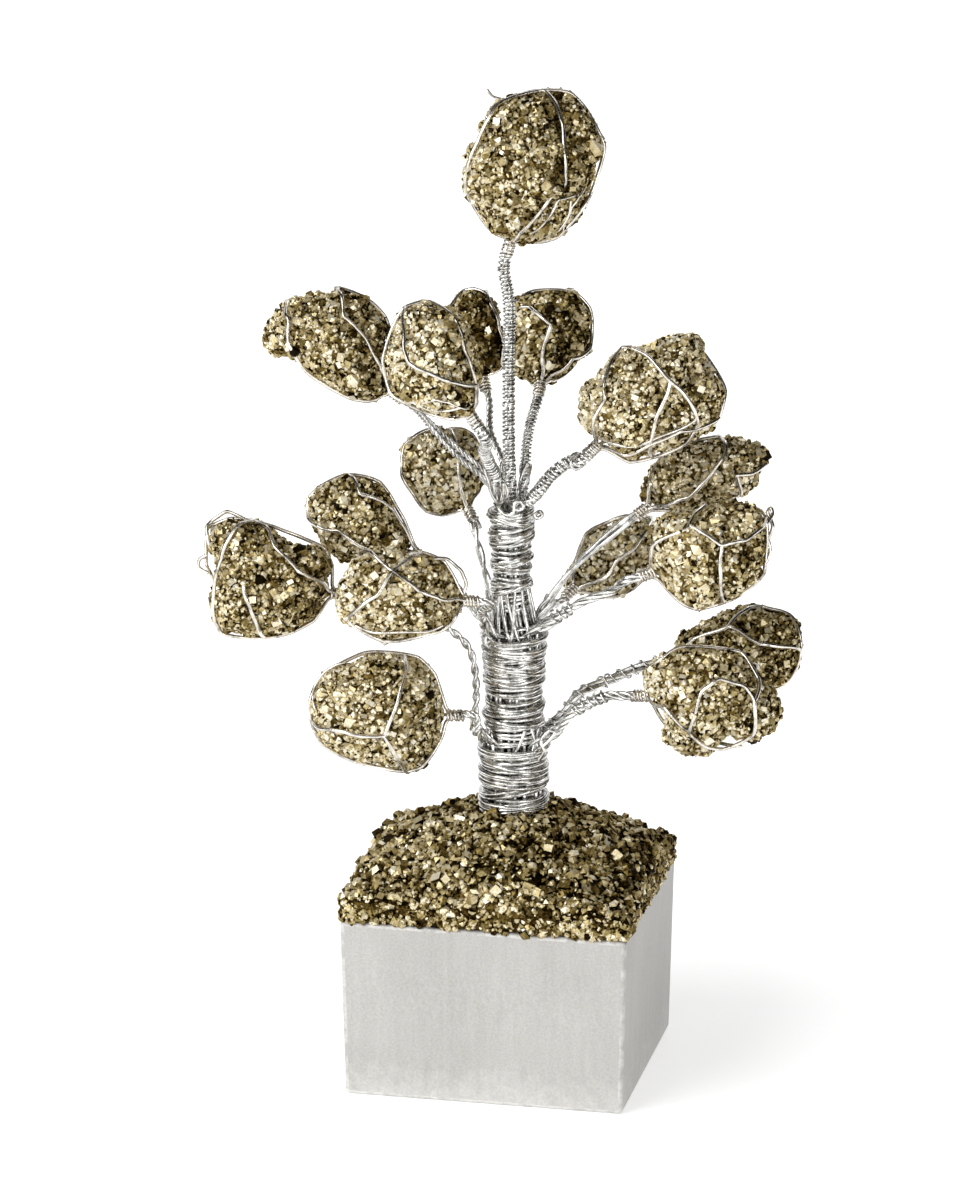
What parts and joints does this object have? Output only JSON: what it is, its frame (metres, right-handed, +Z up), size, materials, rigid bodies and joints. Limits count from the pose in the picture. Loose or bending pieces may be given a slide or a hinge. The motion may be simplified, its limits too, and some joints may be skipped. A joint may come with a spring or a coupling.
{
  "type": "wire tree of life",
  "caption": "Wire tree of life: rough pyrite nuggets caged in silver wire on twisted stems, with a wire-wrapped trunk in a mound of pyrite chips on a silver block.",
  "frame": {"origin": "centre of the block's underside, which stands on the table", "axes": "+Z up the trunk, +X to the right along the block's front face, -Y out of the block's front"},
  "size_m": [0.1208, 0.0798, 0.2085],
  "materials": {
    "silver_block": "satin silver paint on cast stone",
    "pyrite": "natural metallic pyrite crystal",
    "pyrite_chips": "crushed metallic pyrite chips",
    "silver_wire": "bright silver-coloured craft wire"
  },
  "bodies": {
    "root": {"base_block": "silver_block", "chip_mound": "pyrite_chips", "trunk_bundle": "silver_wire", "wrap_lower": "silver_wire", "wrap_middle": "silver_wire", "wrap_upper": "silver_wire", "nugget_crown": "pyrite", "cage_crown": "silver_wire", "stem_crown": "silver_wire", "nugget_far_upper_left": "pyrite", "cage_far_upper_left": "silver_wire", "stem_far_upper_left": "silver_wire", "nugget_upper_left": "pyrite", "cage_upper_left": "silver_wire", "stem_upper_left": "silver_wire", "nugget_back_left": "pyrite", "cage_back_left": "silver_wire", "stem_back_left": "silver_wire", "nugget_back_right": "pyrite", "cage_back_right": "silver_wire", "stem_back_right": "silver_wire", "nugget_upper_right": "pyrite", "cage_upper_right": "silver_wire", "stem_upper_right": "silver_wire", "nugget_left_front": "pyrite", "cage_left_front": "silver_wire", "stem_left_front": "silver_wire", "nugget_left_high": "pyrite", "cage_left_high": "silver_wire", "stem_left_high": "silver_wire", "nugget_left_back": "pyrite", "cage_left_back": "silver_wire", "stem_left_back": "silver_wire", "nugget_right_high": "pyrite", "cage_right_high": "silver_wire", "stem_right_high": "silver_wire", "nugget_right_front": "pyrite", "cage_right_front": "silver_wire", "stem_right_front": "silver_wire", "nugget_right_back": "pyrite", "cage_right_back": "silver_wire", "stem_right_back": "silver_wire", "nugget_low_left": "pyrite", "cage_low_left": "silver_wire", "stem_low_left": "silver_wire", "nugget_low_right_front": "pyrite", "cage_low_right_front": "silver_wire", "stem_low_right_front": "silver_wire", "nugget_low_right_back": "pyrite", "cage_low_right_back": "silver_wire", "stem_low_right_back": "silver_wire", "nugget_far_left": "pyrite", "cage_far_left": "silver_wire", "stem_far_left": "silver_wire"}
  },
  "joints": []
}
